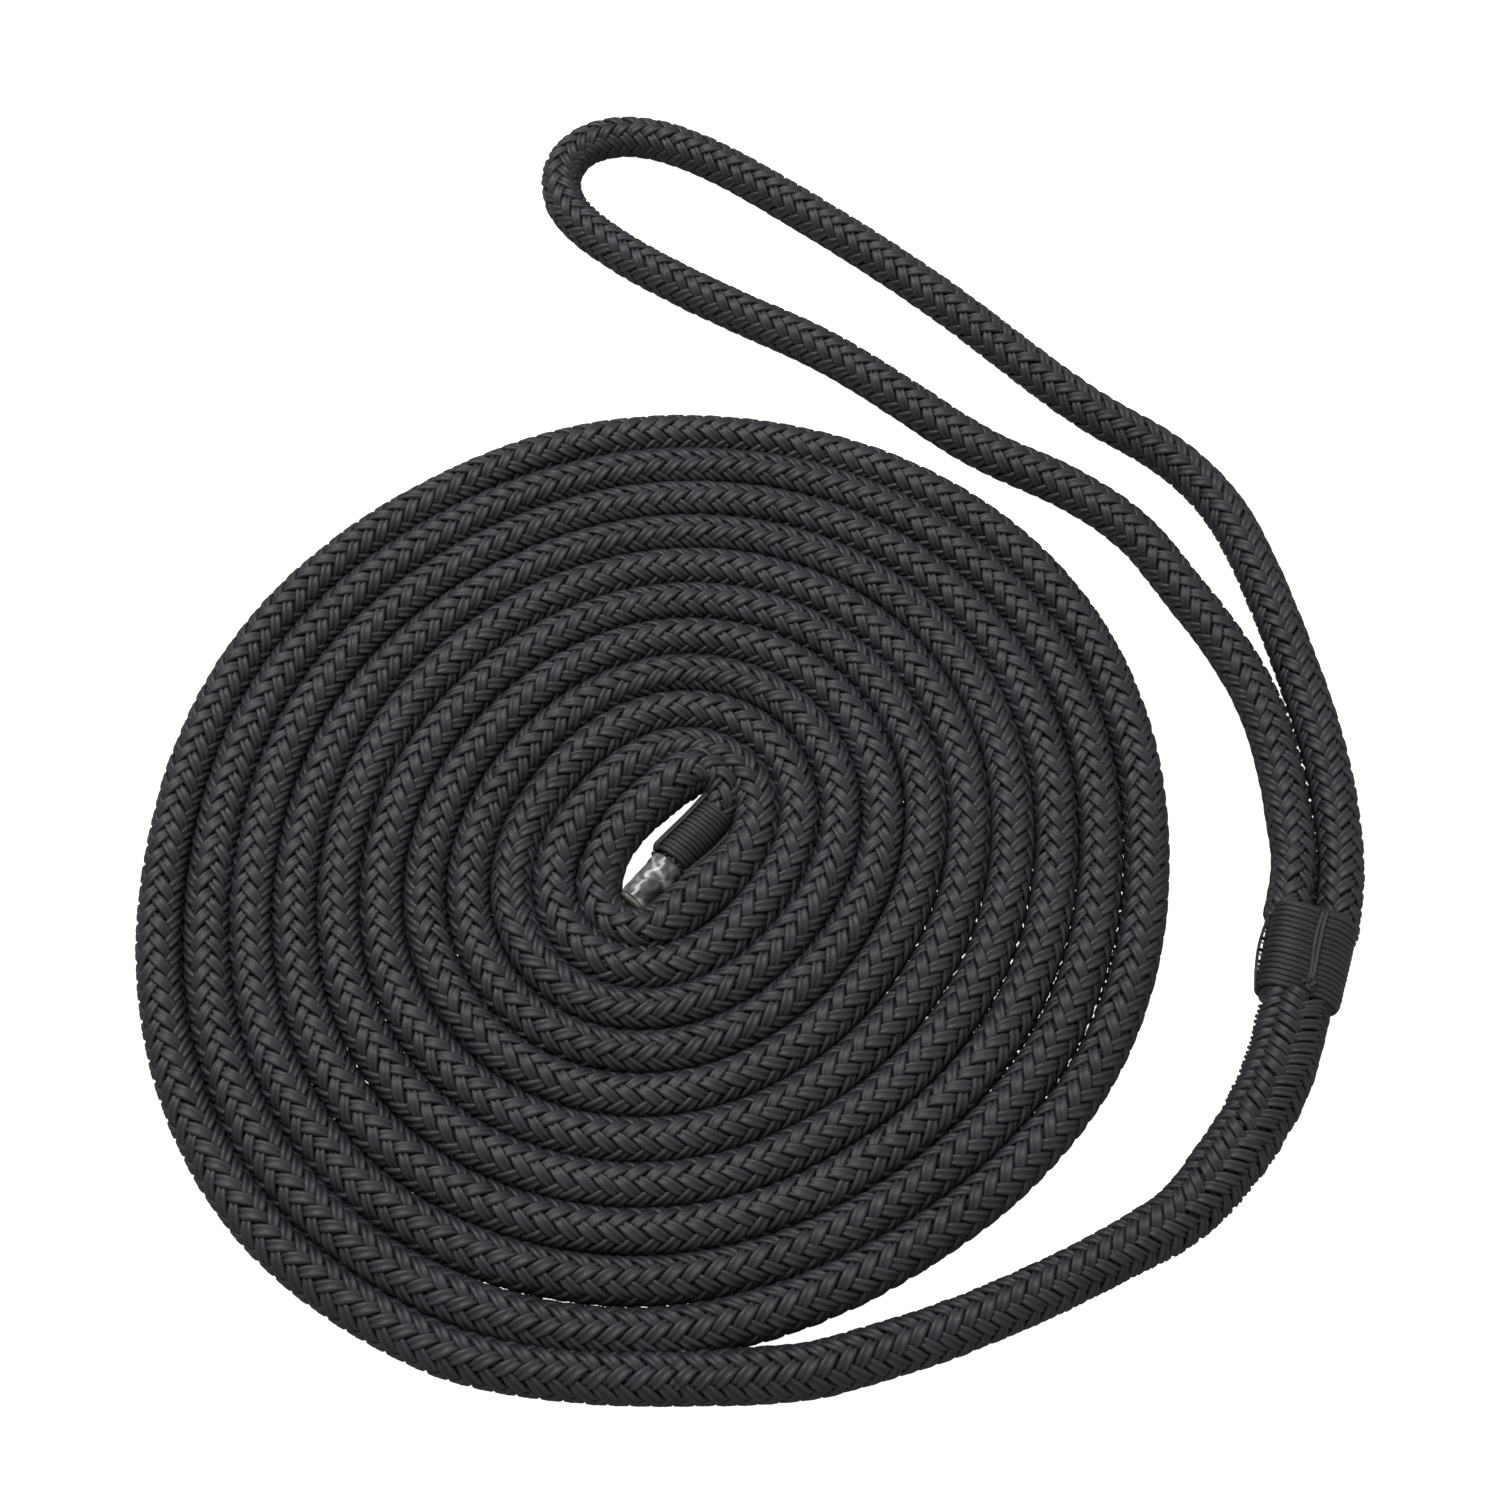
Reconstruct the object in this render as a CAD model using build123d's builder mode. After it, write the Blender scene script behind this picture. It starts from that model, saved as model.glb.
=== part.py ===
"""Coiled dock line: a flat spiral of double-braid rope with a spliced eye and a whipped bitter end.

Frame: +Z up, +Y along the eye's reach. The origin is the bottom centre of the whole line's box.
All lengths are in millimetres and all angles in degrees.
"""

import os
from math import cos, pi, radians, sin, tan

from build123d import *

os.makedirs("parts", exist_ok=True)

# ---------------------------------------------------------------- rope sizes
ROPE = 9.5                      # rope diameter, 3/8 in class
COVER_WALL = 1.5                # thickness of the braided cover
SLACK = 0.1                     # radial room between a cover and what it holds
STANDING = 10.8                 # diameter where the buried core tail ends
TAPER = 11.6                    # diameter over the core tail
SPLICE = 14.8                   # diameter over the core and both buried tails
SPLICE_TAIL = 6.0               # diameter of the cover tail in the middle of the splice
EYE = 10.0                      # diameter of the rope round the eye, relaxed by splicing

# ---------------------------------------------------------------- coil
COIL_X = -19.6                  # centre of the spiral
COIL_Y = -45.0
PITCH = 9.5                     # growth of the radius in one turn
SPIRAL_START = 10.15            # radius of the rope's centreline at angle 0, before stretching
STRETCH = 3.8                   # how far the spiral is drawn out along its long direction
STRETCH_ANGLE = 58.0            # the long direction
COIL_END = 10 * 360.0 + 275.0   # total angle at which the rope leaves the coil
# where the outer turns lie loosely: direction, half width, how far the last turn moves out, and
# the number of the turn at which it begins
LOOSE = (
    (35.0, 40.0, 1.6, 7.0),
    (90.0, 34.0, -0.8, 5.0),
    (150.0, 32.0, 2.2, 5.0),
    (187.0, 22.0, -0.8, 5.0),
    (226.0, 30.0, 2.2, 5.0),
    (262.0, 34.0, 2.8, 8.5),
    (335.0, 36.0, 3.0, 5.0),
)
OUTLINE_STEPS = 30              # points round the coil's outer edge

# hollow in the middle of the coil, beside the bitter end; its last side is the flat face
# where the hairpin hands over to the bitter end
HOLLOW = (
    (-4.5, -40.6),
    (-9.2, -47.4),
    (-14.8, -53.8),
    (-19.6, -59.4),
    (-24.2, -62.0),
    (-29.6, -61.0),
    (-31.6, -56.4),
    (-29.8, -49.8),
    (-26.8, -43.0),
    (-20.6, -37.2),
    (-12.5, -33.6),
)

# ---------------------------------------------------------------- routes of the centreline
# from the coil to the end of the relaxed rope
STANDING_ROUTE = (
    (-9.2, -160.3, 5.4),
    (5.4, -159.4, 5.4),
    (22.4, -154.8, 5.4),
)
# over the buried core tail
TAPER_ROUTE = (
    (22.4, -154.8, 5.8),
    (39.1, -150.3, 5.8),
    (57.6, -142.6, 5.8),
    (74.2, -133.7, 5.8),
)
# over the core and both buried tails, up to the throat
SPLICE_ROUTE = (
    (74.4, -133.6, 7.4),
    (86.0, -127.2, 7.4),
    (95.2, -117.0, 7.4),
    (102.8, -106.6, 7.4),
    (108.75, -95.55, 7.4),
    (113.0, -82.2, 7.4),
)
# the eye, up the outer leg, round the crown and down the inner leg
EYE_ROUTE = (
    (124.44, -63.5, 5.0),
    (127.05, -55.3, 5.0),
    (127.5, -38.6, 5.0),
    (126.8, -22.1, 5.0),
    (124.0, -5.5, 5.0),
    (120.2, 11.0, 5.0),
    (116.2, 27.0, 5.0),
    (110.4, 43.8, 5.0),
    (98.7, 59.0, 5.0),
    (81.4, 71.2, 5.0),
    (65.3, 86.7, 5.0),
    (47.8, 103.6, 5.0),
    (28.5, 121.2, 5.0),
    (7.1, 138.1, 5.0),
    (-12.1, 152.1, 5.0),
    (-29.8, 159.8, 5.0),
    (-44.2, 157.0, 5.0),
    (-50.5, 146.4, 5.0),
    (-48.8, 134.5, 5.0),
    (-40.3, 124.8, 5.0),
    (-25.6, 114.8, 5.0),
    (-5.9, 102.8, 5.0),
    (16.2, 90.1, 5.0),
    (36.6, 75.0, 5.0),
    (53.8, 60.3, 5.0),
    (72.7, 50.2, 5.0),
    (89.0, 37.8, 5.0),
    (98.3, 21.8, 5.0),
    (107.0, 6.6, 5.0),
    (113.4, -9.3, 5.0),
    (116.1, -25.6, 5.0),
    (116.9, -40.6, 5.0),
    (117.05, -52.1, 5.0),
    (114.44, -60.3, 5.0),
)
RADIUS_SHARE = 0.45             # share of the shorter run that a corner's arc takes

# ---------------------------------------------------------------- throat
THROAT_FOOT = (113.0, -82.1)    # where the splice ends and the whipped throat begins
THROAT_ANGLE = 72.3             # direction from the splice to the eye
THROAT_LONG = 21.0
THROAT_WIDE = 15.4              # both legs side by side under the twine
THROAT_HIGH = 11.2
TWINE = 1.1                     # twine diameter
THROAT_WRAPS = 16
THROAT_WRAP_STEP = 1.28
THROAT_FIRST_WRAP = 0.5         # from the foot to the first wrap
KNOT_SIZE = 3.2
# the loose bight of twine: distance up the throat, and how far it stands off the wraps
SIDE_STRAND = ((2.0, 0.6), (5.0, 1.4), (10.5, 1.8), (16.0, 1.4), (19.0, 0.6))

# ---------------------------------------------------------------- bitter end
END_TOP = (-8.5, -37.1)         # where the hairpin straightens into the bitter end
END_ANGLE = 229.0               # direction from there to the cut end
END_WHIPPED = 16.0              # length under the whipping
SLEEVE_LONG = 11.6
SLEEVE = 8.4                    # outside diameter of the shrink sleeve
SLEEVE_WALL = 0.6
PLUG_LONG = 1.6                 # melted nylon that seals the cut end
END_ROPE = 8.0                  # rope squeezed by the end whipping
END_CORE = 5.0
END_TWINE = 0.9
END_WRAPS = 14
END_WRAP_STEP = 1.05
END_FIRST_WRAP = 0.6
FRAP_WIDE = 1.6
FRAP_HIGH = 0.8


# ---------------------------------------------------------------- shared shapes
def spiral_radius(angle):
    """Radius of the coil's centreline at a total angle counted from the start of the spiral."""
    radius = SPIRAL_START + PITCH * angle / 360.0
    radius += STRETCH * cos(radians(2 * (angle - STRETCH_ANGLE)))
    for direction, half_width, push, first_turn in LOOSE:
        away = (angle - direction + 180.0) % 360.0 - 180.0
        looseness = (angle / 360.0 - first_turn) / (COIL_END / 360.0 - first_turn)
        if abs(away) < half_width and looseness > 0:
            radius += looseness * push * cos(radians(90.0 * away / half_width)) ** 2
    return radius


def coil_point(angle, outward=0.0):
    """Point of the spiral in plan, moved outward from the centreline."""
    radius = spiral_radius(angle) + outward
    return (COIL_X + radius * cos(radians(angle)), COIL_Y + radius * sin(radians(angle)))


def corner_radii(route):
    """One arc radius for each inner point of a route, as large as its two runs allow."""
    points = [Vector(*point) for point in route]
    radii = []
    for before, corner, after in zip(points, points[1:], points[2:]):
        run_in = corner - before
        run_out = after - corner
        half_turn = radians(run_in.get_angle(run_out)) / 2
        radii.append(RADIUS_SHARE * min(run_in.length, run_out.length) / tan(half_turn))
    return radii


def centreline(route):
    """Straight runs joined by tangent arcs."""
    with BuildLine(mode=Mode.PRIVATE) as line:
        FilletPolyline(*route, radius=corner_radii(route))
    return line.wire()


def cord_tube(path, outside, bore=0.0):
    """A round tube along a path, solid where the bore is zero."""
    with BuildSketch(Plane(origin=path @ 0, z_dir=path % 0)) as section:
        Circle(outside / 2)
        if bore:
            Circle(bore / 2, mode=Mode.SUBTRACT)
    sweep(section.sketch, path=path)


def direction(angle):
    """Unit vector in plan."""
    return Vector(cos(radians(angle)), sin(radians(angle)), 0)


def plane_along(foot, height, angle, distance=0.0):
    """Plane across a level axis: its x is to the right of the axis and its y is up."""
    heading = direction(angle)
    origin = Vector(*foot, height) + heading * distance
    return Plane(origin=origin, x_dir=direction(angle - 90), z_dir=heading)


def report_tube(name, part, path, outside, bore=0.0):
    """Print a tube's volume beside its section times its length."""
    section = pi * (outside**2 - bore**2) / 4
    print(f"{name}: length {path.length:.1f} volume {part.volume:.0f} section {section:.2f}")
    print(f"    section times length {section * path.length:.0f}")


def report_radii(name, route):
    """Print the bend radii of a route."""
    print(name, "radii", " ".join(f"{radius:.0f}" for radius in corner_radii(route)))


# ---------------------------------------------------------------- coil solid
outline = []
for step in range(OUTLINE_STEPS + 1):
    outline.append(coil_point(COIL_END - 360.0 + step * 360.0 / OUTLINE_STEPS, ROPE / 2))

with BuildPart() as coil:
    with BuildSketch():
        with BuildLine():
            Spline(*outline)
            Line(outline[-1], outline[0])
        make_face()
        with BuildLine():
            Spline(*HOLLOW)
            Line(HOLLOW[-1], HOLLOW[0])
        make_face(mode=Mode.SUBTRACT)
    extrude(amount=ROPE)
coil.part.label = "coil"
export_step(coil.part, "parts/coil.step")

# ---------------------------------------------------------------- standing part, taper and splice
standing_path = centreline(STANDING_ROUTE)
standing_bore = STANDING - 2 * COVER_WALL

with BuildPart() as standing_cover:
    cord_tube(standing_path, STANDING, standing_bore)
standing_cover.part.label = "standing_cover"
export_step(standing_cover.part, "parts/standing_cover.step")

with BuildPart() as standing_core:
    cord_tube(standing_path, standing_bore - 2 * SLACK)
standing_core.part.label = "standing_core"
export_step(standing_core.part, "parts/standing_core.step")

taper_path = centreline(TAPER_ROUTE)
taper_bore = TAPER - 2 * COVER_WALL

with BuildPart() as taper_cover:
    cord_tube(taper_path, TAPER, taper_bore)
taper_cover.part.label = "taper_cover"
export_step(taper_cover.part, "parts/taper_cover.step")

with BuildPart() as taper_core:
    cord_tube(taper_path, taper_bore - 2 * SLACK)
taper_core.part.label = "taper_core"
export_step(taper_core.part, "parts/taper_core.step")

splice_path = centreline(SPLICE_ROUTE)
splice_bore = SPLICE - 2 * COVER_WALL

with BuildPart() as splice_cover:
    cord_tube(splice_path, SPLICE, splice_bore)
splice_cover.part.label = "splice_cover"
export_step(splice_cover.part, "parts/splice_cover.step")

with BuildPart() as splice_core:
    cord_tube(splice_path, splice_bore - 2 * SLACK, SPLICE_TAIL + 2 * SLACK)
splice_core.part.label = "splice_core"
export_step(splice_core.part, "parts/splice_core.step")

with BuildPart() as buried_cover_tail:
    cord_tube(splice_path, SPLICE_TAIL)
buried_cover_tail.part.label = "buried_cover_tail"
export_step(buried_cover_tail.part, "parts/buried_cover_tail.step")

# ---------------------------------------------------------------- eye
eye_path = centreline(EYE_ROUTE)
eye_bore = EYE - 2 * COVER_WALL

with BuildPart() as eye_cover:
    cord_tube(eye_path, EYE, eye_bore)
eye_cover.part.label = "eye_cover"
export_step(eye_cover.part, "parts/eye_cover.step")

with BuildPart() as eye_core:
    cord_tube(eye_path, eye_bore - 2 * SLACK)
eye_core.part.label = "eye_core"
export_step(eye_core.part, "parts/eye_core.step")

# ---------------------------------------------------------------- whipped throat
throat_height = THROAT_HIGH / 2 + TWINE
throat_foot = plane_along(THROAT_FOOT, throat_height, THROAT_ANGLE)

with BuildPart() as throat:
    with BuildSketch(throat_foot):
        SlotOverall(THROAT_WIDE, THROAT_HIGH)
    extrude(amount=THROAT_LONG)
throat.part.label = "throat"
export_step(throat.part, "parts/throat.step")

with BuildPart() as throat_whipping:
    for wrap in range(THROAT_WRAPS):
        along = THROAT_FIRST_WRAP + wrap * THROAT_WRAP_STEP
        with BuildSketch(plane_along(THROAT_FOOT, throat_height, THROAT_ANGLE, along)):
            SlotOverall(THROAT_WIDE + 2 * TWINE, THROAT_HIGH + 2 * TWINE)
            SlotOverall(THROAT_WIDE + 2 * SLACK, THROAT_HIGH + 2 * SLACK, mode=Mode.SUBTRACT)
        extrude(amount=TWINE)
throat_whipping.part.label = "throat_whipping"
export_step(throat_whipping.part, "parts/throat_whipping.step")

frap_height = throat_height + THROAT_HIGH / 2 + TWINE + FRAP_HIGH / 2
frap_long = THROAT_LONG - KNOT_SIZE - 2 * THROAT_FIRST_WRAP
frap_start = THROAT_FIRST_WRAP + KNOT_SIZE

with BuildPart() as throat_frapping:
    with BuildSketch(plane_along(THROAT_FOOT, frap_height, THROAT_ANGLE, frap_start)):
        RectangleRounded(FRAP_WIDE, FRAP_HIGH, FRAP_HIGH / 2.2)
    extrude(amount=frap_long)
throat_frapping.part.label = "throat_frapping"
export_step(throat_frapping.part, "parts/throat_frapping.step")

knot_height = frap_height - FRAP_HIGH / 2 + KNOT_SIZE / 3
knot_plane = plane_along(THROAT_FOOT, knot_height, THROAT_ANGLE, frap_start - KNOT_SIZE / 2)

with BuildPart() as throat_knot:
    with Locations(knot_plane):
        Sphere(KNOT_SIZE / 2)
    split(bisect_by=Plane.XY.offset(frap_height - FRAP_HIGH / 2 + SLACK / 2), keep=Keep.TOP)
throat_knot.part.label = "throat_knot"
export_step(throat_knot.part, "parts/throat_knot.step")

left_side = THROAT_WIDE / 2 + TWINE
side_route = []
for along, stand_off in SIDE_STRAND:
    place = plane_along(THROAT_FOOT, throat_height, THROAT_ANGLE, along)
    side_route.append(tuple(place.from_local_coords((-left_side - stand_off, 0, 0))))

with BuildPart() as throat_side_strand:
    cord_tube(centreline(side_route), TWINE)
throat_side_strand.part.label = "throat_side_strand"
export_step(throat_side_strand.part, "parts/throat_side_strand.step")

# ---------------------------------------------------------------- bitter end
end_height = END_ROPE / 2 + END_TWINE
sleeve_bore = SLEEVE - 2 * SLEEVE_WALL
end_top = plane_along(END_TOP, end_height, END_ANGLE, SLACK)
end_long = END_WHIPPED + SLEEVE_LONG - PLUG_LONG
sleeve_start = plane_along(END_TOP, end_height, END_ANGLE, END_WHIPPED + 2 * SLACK)

with BuildPart() as end_cover:
    with BuildSketch(end_top):
        Circle(END_ROPE / 2)
    extrude(amount=END_WHIPPED)
    with BuildSketch(end_top):
        Circle(sleeve_bore / 2 - SLACK)
    extrude(amount=end_long)
    with BuildSketch(end_top):
        Circle(END_CORE / 2 + SLACK)
    extrude(amount=end_long, mode=Mode.SUBTRACT)
end_cover.part.label = "end_cover"
export_step(end_cover.part, "parts/end_cover.step")

with BuildPart() as end_core:
    with BuildSketch(end_top):
        Circle(END_CORE / 2)
    extrude(amount=end_long)
end_core.part.label = "end_core"
export_step(end_core.part, "parts/end_core.step")

with BuildPart() as end_whipping:
    for wrap in range(END_WRAPS):
        along = END_FIRST_WRAP + wrap * END_WRAP_STEP
        with BuildSketch(plane_along(END_TOP, end_height, END_ANGLE, along)):
            Circle(END_ROPE / 2 + END_TWINE)
            Circle(END_ROPE / 2 + SLACK, mode=Mode.SUBTRACT)
        extrude(amount=END_TWINE)
end_whipping.part.label = "end_whipping"
export_step(end_whipping.part, "parts/end_whipping.step")

with BuildPart() as end_frapping:
    for around in (35.0, 205.0):
        reach = END_ROPE / 2 + END_TWINE + END_TWINE / 2 + SLACK / 2
        with BuildSketch(end_top):
            with Locations((reach * cos(radians(around)), reach * sin(radians(around)))):
                Circle(END_TWINE / 2)
        extrude(amount=END_WHIPPED - END_FIRST_WRAP)
end_frapping.part.label = "end_frapping"
export_step(end_frapping.part, "parts/end_frapping.step")

with BuildPart() as end_sleeve:
    with BuildSketch(sleeve_start):
        Circle(SLEEVE / 2)
        Circle(sleeve_bore / 2, mode=Mode.SUBTRACT)
    extrude(amount=SLEEVE_LONG)
end_sleeve.part.label = "end_sleeve"
export_step(end_sleeve.part, "parts/end_sleeve.step")

with BuildPart() as fused_tip:
    with BuildSketch(plane_along(END_TOP, end_height, END_ANGLE, end_long + 2 * SLACK)):
        Circle(sleeve_bore / 2 - SLACK)
    extrude(amount=PLUG_LONG)
fused_tip.part.label = "fused_tip"
export_step(fused_tip.part, "parts/fused_tip.step")

# ---------------------------------------------------------------- checks printed for the maker
report_radii("standing", STANDING_ROUTE)
report_radii("taper", TAPER_ROUTE)
report_radii("splice", SPLICE_ROUTE)
report_radii("eye", EYE_ROUTE)
report_radii("side strand", side_route)
report_tube("standing_cover", standing_cover.part, standing_path, STANDING, standing_bore)
report_tube("taper_cover", taper_cover.part, taper_path, TAPER, taper_bore)
report_tube("splice_cover", splice_cover.part, splice_path, SPLICE, splice_bore)
report_tube("eye_cover", eye_cover.part, eye_path, EYE, eye_bore)
report_tube("eye_core", eye_core.part, eye_path, eye_bore - 2 * SLACK)
everything = [coil.part, eye_cover.part, splice_cover.part, standing_cover.part]
box = Compound(children=[Part(piece.wrapped) for piece in everything]).bounding_box()
print(f"x {box.min.X:.2f} {box.max.X:.2f} y {box.min.Y:.2f} {box.max.Y:.2f} z {box.min.Z:.2f} {box.max.Z:.2f}")
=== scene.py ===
"""Coiled dock line: black double-braid nylon rope with a spliced eye and a whipped bitter end."""

from math import cos, pi, radians, sin

import bpy
import numpy as np
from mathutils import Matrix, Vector


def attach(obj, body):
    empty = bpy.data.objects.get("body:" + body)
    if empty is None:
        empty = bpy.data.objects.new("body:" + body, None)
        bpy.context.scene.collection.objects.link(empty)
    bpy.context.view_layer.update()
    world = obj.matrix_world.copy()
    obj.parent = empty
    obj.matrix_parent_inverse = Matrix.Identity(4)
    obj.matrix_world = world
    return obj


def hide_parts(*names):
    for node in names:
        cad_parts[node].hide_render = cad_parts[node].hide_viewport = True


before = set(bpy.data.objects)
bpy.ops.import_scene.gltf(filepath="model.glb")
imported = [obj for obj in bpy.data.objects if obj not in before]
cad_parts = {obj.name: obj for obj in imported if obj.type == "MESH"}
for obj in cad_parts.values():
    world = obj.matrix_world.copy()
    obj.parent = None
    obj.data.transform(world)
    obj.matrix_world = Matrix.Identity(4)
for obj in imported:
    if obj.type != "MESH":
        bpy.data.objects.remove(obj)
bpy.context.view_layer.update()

MM = 0.001
SEED = 11

# ---------------------------------------------------------------- sizes
PITCH = 9.5 * MM                # how far out the coil goes in one turn
SPIRAL_START = 10.15 * MM       # the spiral's radius at a total angle of zero
STRETCH = 3.8 * MM              # the coil is oval: it stands out this much at STRETCH_ANGLE
STRETCH_ANGLE = 58.0
COIL_CENTRE = (-19.6 * MM, -45.0 * MM)
COIL_END = 10 * 360.0 + 275.0   # total angle where the standing part leaves
# Where the turns leave the even spiral: direction and half width in degrees, how far the last
# turn stands out from its place, and the turn where it begins.
LOOSE = (
    (35.0, 40.0, 1.6 * MM, 7.0),
    (90.0, 34.0, -0.8 * MM, 5.0),
    (150.0, 32.0, 2.2 * MM, 5.0),
    (187.0, 22.0, -1.5 * MM, 5.0),
    (226.0, 30.0, 2.2 * MM, 5.0),
    (262.0, 34.0, 2.8 * MM, 8.5),
    (331.0, 36.0, 3.0 * MM, 5.0),
    (100.0, 26.0, 1.2 * MM, 8.8),
    (66.0, 48.0, -1.2 * MM, 9.2),
    (190.0, 24.0, 1.5 * MM, 9.3),
    (5.0, 30.0, 0.9 * MM, 9.2),
    (246.0, 26.0, -0.9 * MM, 9.6),
)
COIL_FIRST = 360.0 - 15.0       # total angle where the regular turns begin
COIL_HEIGHT = 5.25 * MM         # of the turns' centreline above the floor
TURN_POINTS = 24                # control points in one turn
HULL_SWELL = 1 / cos(pi / TURN_POINTS)  # a control point stands this much outside the curve

THICK_LONG = 206 * MM           # the line thickens this far before its end in the throat
SPLICE_CUT = 26 * MM            # the line is two pieces, cut this far past that place
# radius in mm at distances in mm, from the bitter end and from where the rope thickens
END_SIZES = (
    (0.0, 3.0),
    (11.0, 3.4),
    (12.5, 3.9),
    (26.5, 3.95),
    (31.0, 4.85),
    (38.0, 5.45),
    (48.0, 5.85),
    (57.0, 5.75),
    (70.0, 5.25),
    (88.0, 5.25),
    (97.0, 5.65),
    (106.0, 6.0),
    (121.0, 6.0),
    (136.0, 5.6),
    (152.0, 5.25),
    (175.0, 5.05),
    (208.0, 5.1),
    (225.0, 5.45),
    (262.0, 5.45),
    (285.0, 5.05),
    (900.0, 5.05),
    (1300.0, 5.15),
)
SPLICE_SIZES = (
    (-1000.0, 5.15),
    (-880.0, 5.25),
    (-780.0, 5.4),
    (-640.0, 5.4),
    (-540.0, 5.2),
    (0.0, 5.3),
    (14.0, 5.6),
    (46.0, 5.65),
    (118.0, 5.8),
    (130.0, 6.3),
    (142.0, 7.0),
    (154.0, 7.4),
    (180.0, 7.8),
    (186.0, 7.7),
    (188.0, 5.9),
    (206.0, 5.0),
)
# length of one strand spacing in mm, at distances from the same two places
END_REPEATS = ((0.0, 3.6), (12.0, 3.6), (32.0, 4.35))
SPLICE_REPEATS = ((0.0, 4.35), (75.0, 3.7), (160.0, 2.6), (206.0, 2.5))
EYE_RADIUS = 5.25 * MM
EYE_REPEAT = 4.1 * MM

THROAT_FOOT = (113.0 * MM, -82.1 * MM)
THROAT_ANGLE = 72.3             # direction of the throat's axis, towards the eye
THROAT_LONG = 21.0 * MM
THROAT_HEIGHT = 6.7 * MM        # of the throat's axis above the floor
THROAT_WIDE = 15.4 * MM
THROAT_HIGH = 11.2 * MM
THROAT_FLARE = 0.05             # how much wider it is at the eye's side
SIDE_POWER = 0.85               # how square its section is, across and up
TOP_POWER = 0.75
GROOVE_WIDE = 2.6 * MM          # the groove between the two legs
GROOVE_DEPTH = 0.13             # beside half the height
THROAT_TURNS = 16
TWINE = 1.25 * MM

END_TOP = (-8.5 * MM, -37.1 * MM)
END_ANGLE = 229.0               # direction of the bitter end's axis, towards the cut
END_HEIGHT = 4.8 * MM
END_WHIPPED = 16.2 * MM
END_SQUEEZED = 3.95 * MM        # radius of the rope under the whipping
END_TURNS = 14
END_TWINE = 1.05 * MM
FRAP_OUT = 0.35 * MM            # how far the frapping stands off the whipping
SLEEVE_LONG = 11.6 * MM
SLEEVE = 7.9 * MM
SLEEVE_WALL = 0.5 * MM
SLEEVE_TAPER = 0.07             # how much narrower it is at the cut
SLEEVE_CREASE = 0.09 * MM
END_FLAT = 0.97                 # height beside width, of the sleeve and the bead
# the melted bead: distance along the sleeve and radius, in mm
BEAD = (
    (9.4, 2.7),
    (11.0, 3.1),
    (11.8, 3.2),
    (12.2, 3.1),
    (12.45, 2.5),
    (12.55, 1.6),
    (12.6, 0.7),
)
BEAD_BACK = 0.2                 # mm that the bead is set back into the sleeve

# ---------------------------------------------------------------- routes, in metres
# the bitter end, its hairpin and the first, uneven turn
END_ROUTE = (
    (-0.0269, -0.0583, 0.0043),
    (-0.0228, -0.0540, 0.0045),
    (-0.0160, -0.0462, 0.0048),
    (-0.0098, -0.0388, 0.0048),
    (-0.0070, -0.0336, 0.0049),
    (-0.0074, -0.0280, 0.0050),
    (-0.0122, -0.0258, 0.0056),
    (-0.0173, -0.0286, 0.0058),
    (-0.0225, -0.0328, 0.0050),
    (-0.0281, -0.0385, 0.0051),
    (-0.0323, -0.0455, 0.0052),
    (-0.0345, -0.0531, 0.0052),
    (-0.0338, -0.0604, 0.0053),
    (-0.0288, -0.0655, 0.0056),
    (-0.0217, -0.0655, 0.0060),
    (-0.0157, -0.0603, 0.0062),
    (-0.0101, -0.0551, 0.0062),
)
# from the coil, over the taper and the splice, into the throat
STANDING_ROUTE = (
    (0.0054, -0.1594, 0.0056),
    (0.0224, -0.1548, 0.0057),
    (0.0389, -0.1497, 0.0058),
    (0.0573, -0.1420, 0.0058),
    (0.0742, -0.1337, 0.0062),
    (0.0860, -0.1272, 0.0068),
    (0.0952, -0.1170, 0.0074),
    (0.1028, -0.1066, 0.0076),
    (0.1085, -0.0955, 0.0077),
    (0.1130, -0.0822, 0.0071),
    (0.1163, -0.0722, 0.0064),
    (0.1190, -0.0640, 0.0062),
)
EYE_ROUTE = (
    (0.1230, -0.0670, 0.0055),
    (0.1264, -0.0552, 0.0051),
    (0.1275, -0.0386, 0.0051),
    (0.1266, -0.0221, 0.0051),
    (0.1238, -0.0055, 0.0051),
    (0.1202, 0.0110, 0.0051),
    (0.1162, 0.0270, 0.0051),
    (0.1104, 0.0438, 0.0051),
    (0.0987, 0.0590, 0.0051),
    (0.0810, 0.0707, 0.0051),
    (0.0649, 0.0862, 0.0051),
    (0.0478, 0.1036, 0.0051),
    (0.0281, 0.1207, 0.0051),
    (0.0067, 0.1376, 0.0051),
    (-0.0124, 0.1515, 0.0051),
    (-0.0300, 0.1590, 0.0051),
    (-0.0441, 0.1563, 0.0051),
    (-0.0505, 0.1464, 0.0051),
    (-0.0488, 0.1345, 0.0051),
    (-0.0403, 0.1248, 0.0051),
    (-0.0260, 0.1140, 0.0051),
    (-0.0063, 0.1020, 0.0051),
    (0.0162, 0.0901, 0.0051),
    (0.0362, 0.0745, 0.0051),
    (0.0534, 0.0598, 0.0051),
    (0.0727, 0.0502, 0.0051),
    (0.0887, 0.0375, 0.0051),
    (0.0979, 0.0216, 0.0051),
    (0.1070, 0.0066, 0.0051),
    (0.1136, -0.0093, 0.0051),
    (0.1163, -0.0256, 0.0051),
    (0.1170, -0.0406, 0.0051),
    (0.1171, -0.0519, 0.0051),
    (0.1130, -0.0638, 0.0055),
)

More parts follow.
